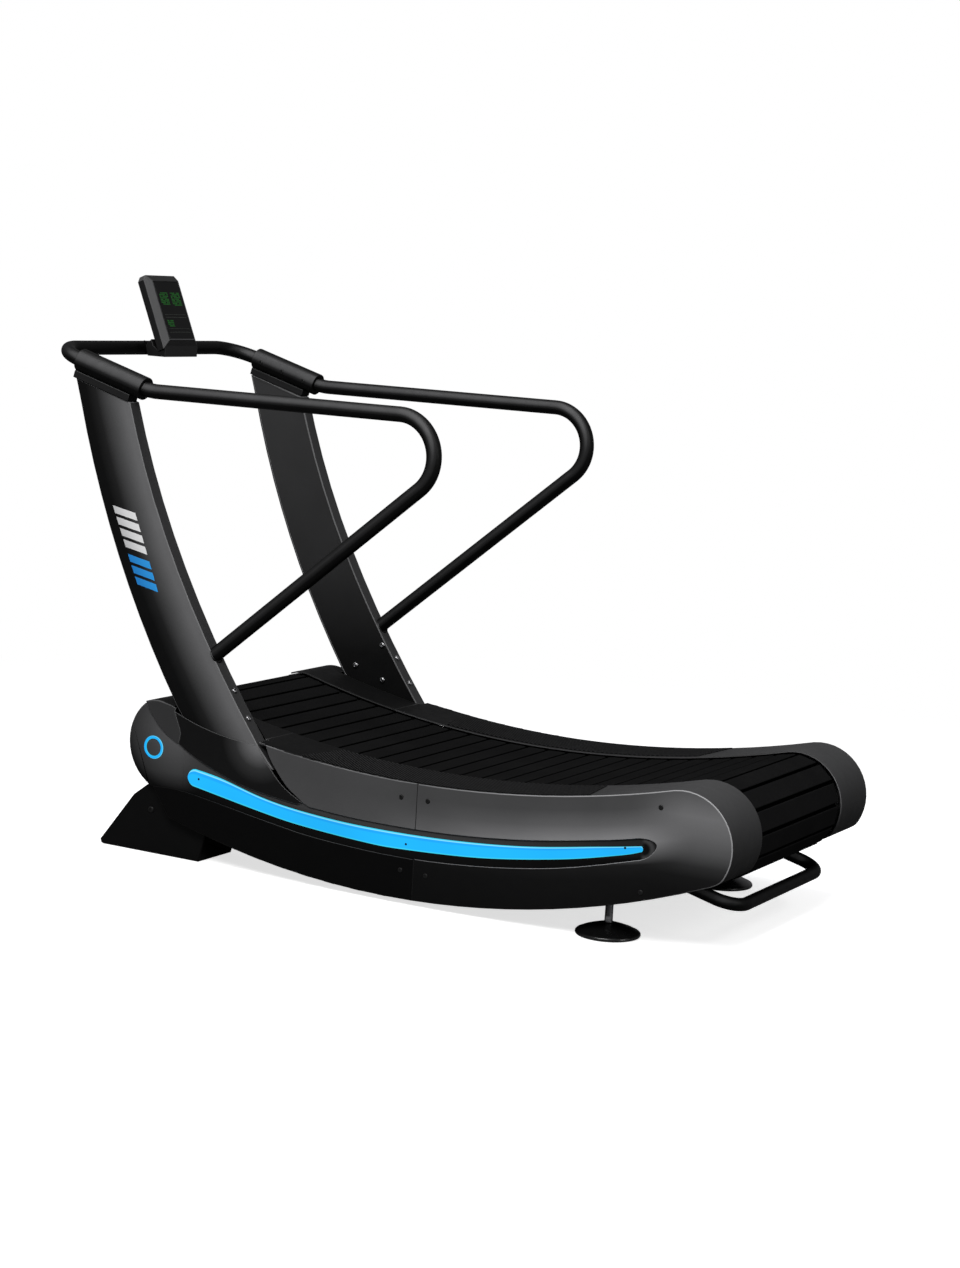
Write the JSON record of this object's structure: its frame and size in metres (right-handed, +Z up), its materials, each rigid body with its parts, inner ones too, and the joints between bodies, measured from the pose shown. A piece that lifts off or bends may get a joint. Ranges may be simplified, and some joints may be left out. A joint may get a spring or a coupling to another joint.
{
  "type": "curved manual treadmill",
  "caption": "Curved manual treadmill with a slatted running belt on two axle rollers, swept uprights, loop handrails, a small console, lit side strips and a rear lift handle.",
  "frame": {"origin": "middle of the footprint, on the floor", "axes": "+X towards the rear of the machine, -Y the runner's left side, +Z up"},
  "size_m": [2.0215, 0.869, 1.4778],
  "materials": {
    "slat_rubber": "matt black moulded slats, fine ribbed tread",
    "drive_belt_rubber": "matt black reinforced belt",
    "bright_steel": "bright ground steel",
    "cast_iron": "dark cast metal",
    "frame_paint": "black powder coat, fine grain",
    "rail_paint": "satin black powder coat",
    "upright_paint": "black powder coat with a soft sheen",
    "grey_plastic": "dark grey plastic with a fine spark texture",
    "black_plastic": "semi-gloss black plastic",
    "stand_plastic": "satin black plastic",
    "blue_light": "translucent diffuser, lit bright blue",
    "grip_tape": "black anti-slip sheet with fine grit",
    "wheel_rubber": "hard black rubber",
    "foot_rubber": "black rubber sole under a dark dome",
    "bracket_plastic": "satin black",
    "display_glass": "glossy black display window"
  },
  "bodies": {
    "base": {"slat_belt": "slat_rubber", "drive_belt_left": "drive_belt_rubber", "drive_belt_right": "drive_belt_rubber", "bearing_rail_left": "bright_steel", "bearing_rail_right": "bright_steel", "front_bearing_left": "cast_iron", "front_bearing_right": "cast_iron", "rear_bearing_left": "cast_iron", "rear_bearing_right": "cast_iron", "side_beam_left": "frame_paint", "side_beam_right": "frame_paint", "cross_member_front": "frame_paint", "cross_member_middle": "frame_paint", "cross_member_rear": "frame_paint", "lift_handle": "rail_paint", "crossbar": "rail_paint", "handrail_left": "rail_paint", "handrail_right": "rail_paint", "rail_sleeve_left": "rail_paint", "rail_sleeve_right": "rail_paint", "upright_left": "upright_paint", "upright_right": "upright_paint", "upright_liner_left": "upright_paint", "upright_liner_right": "upright_paint", "rear_cover_left": "grey_plastic", "rear_cover_right": "grey_plastic", "upper_cover_left": "grey_plastic", "upper_cover_right": "grey_plastic", "front_hood_left": "grey_plastic", "front_hood_right": "grey_plastic", "console_housing": "grey_plastic", "lower_cover_left": "black_plastic", "lower_cover_right": "black_plastic", "light_channel_left": "black_plastic", "light_channel_right": "black_plastic", "front_cap_left": "black_plastic", "front_cap_right": "black_plastic", "upright_shroud_left": "black_plastic", "upright_shroud_right": "black_plastic", "belly_pan": "black_plastic", "front_stand_left": "stand_plastic", "front_stand_right": "stand_plastic", "light_strip_left": "blue_light", "light_strip_right": "blue_light", "ring_light_left": "blue_light", "ring_light_right": "blue_light", "grip_pad_left": "grip_tape", "grip_pad_right": "grip_tape", "console_bracket": "bracket_plastic", "console_lens": "display_glass"},
    "front_roller": {"front_axle": "bright_steel", "front_pulley_left": "cast_iron", "front_pulley_right": "cast_iron"},
    "rear_roller": {"rear_axle": "bright_steel", "rear_pulley_left": "cast_iron", "rear_pulley_right": "cast_iron"},
    "wheel_left": {"transport_wheel_left": "wheel_rubber"},
    "wheel_right": {"transport_wheel_right": "wheel_rubber"},
    "foot_left": {"levelling_foot_left": "foot_rubber"},
    "foot_right": {"levelling_foot_right": "foot_rubber"}
  },
  "joints": [
    {"name": "rear_roller_spin", "type": "hinge", "parent": "base", "child": "rear_roller", "pos_m": [0.883, 0, 0.268], "axis": [0, 1, 0], "continuous": true},
    {"name": "front_roller_spin", "type": "hinge", "parent": "base", "child": "front_roller", "pos_m": [-0.608, 0, 0.316], "axis": [0, 1, 0], "continuous": true},
    {"name": "wheel_spin_left", "type": "hinge", "parent": "base", "child": "wheel_left", "pos_m": [-0.742, -0.325, 0.04], "axis": [0, 1, 0], "continuous": true},
    {"name": "wheel_spin_right", "type": "hinge", "parent": "base", "child": "wheel_right", "pos_m": [-0.742, 0.325, 0.04], "axis": [0, 1, 0], "continuous": true},
    {"name": "foot_level_left", "type": "slide", "parent": "base", "child": "foot_left", "axis": [0, 0, -1], "range_m": [0, 0.015]},
    {"name": "foot_level_right", "type": "slide", "parent": "base", "child": "foot_right", "axis": [0, 0, -1], "range_m": [0, 0.015]}
  ],
  "couplings": [
    {"joint": "front_roller_spin", "follows": "rear_roller_spin", "ratio": 1.558}
  ]
}
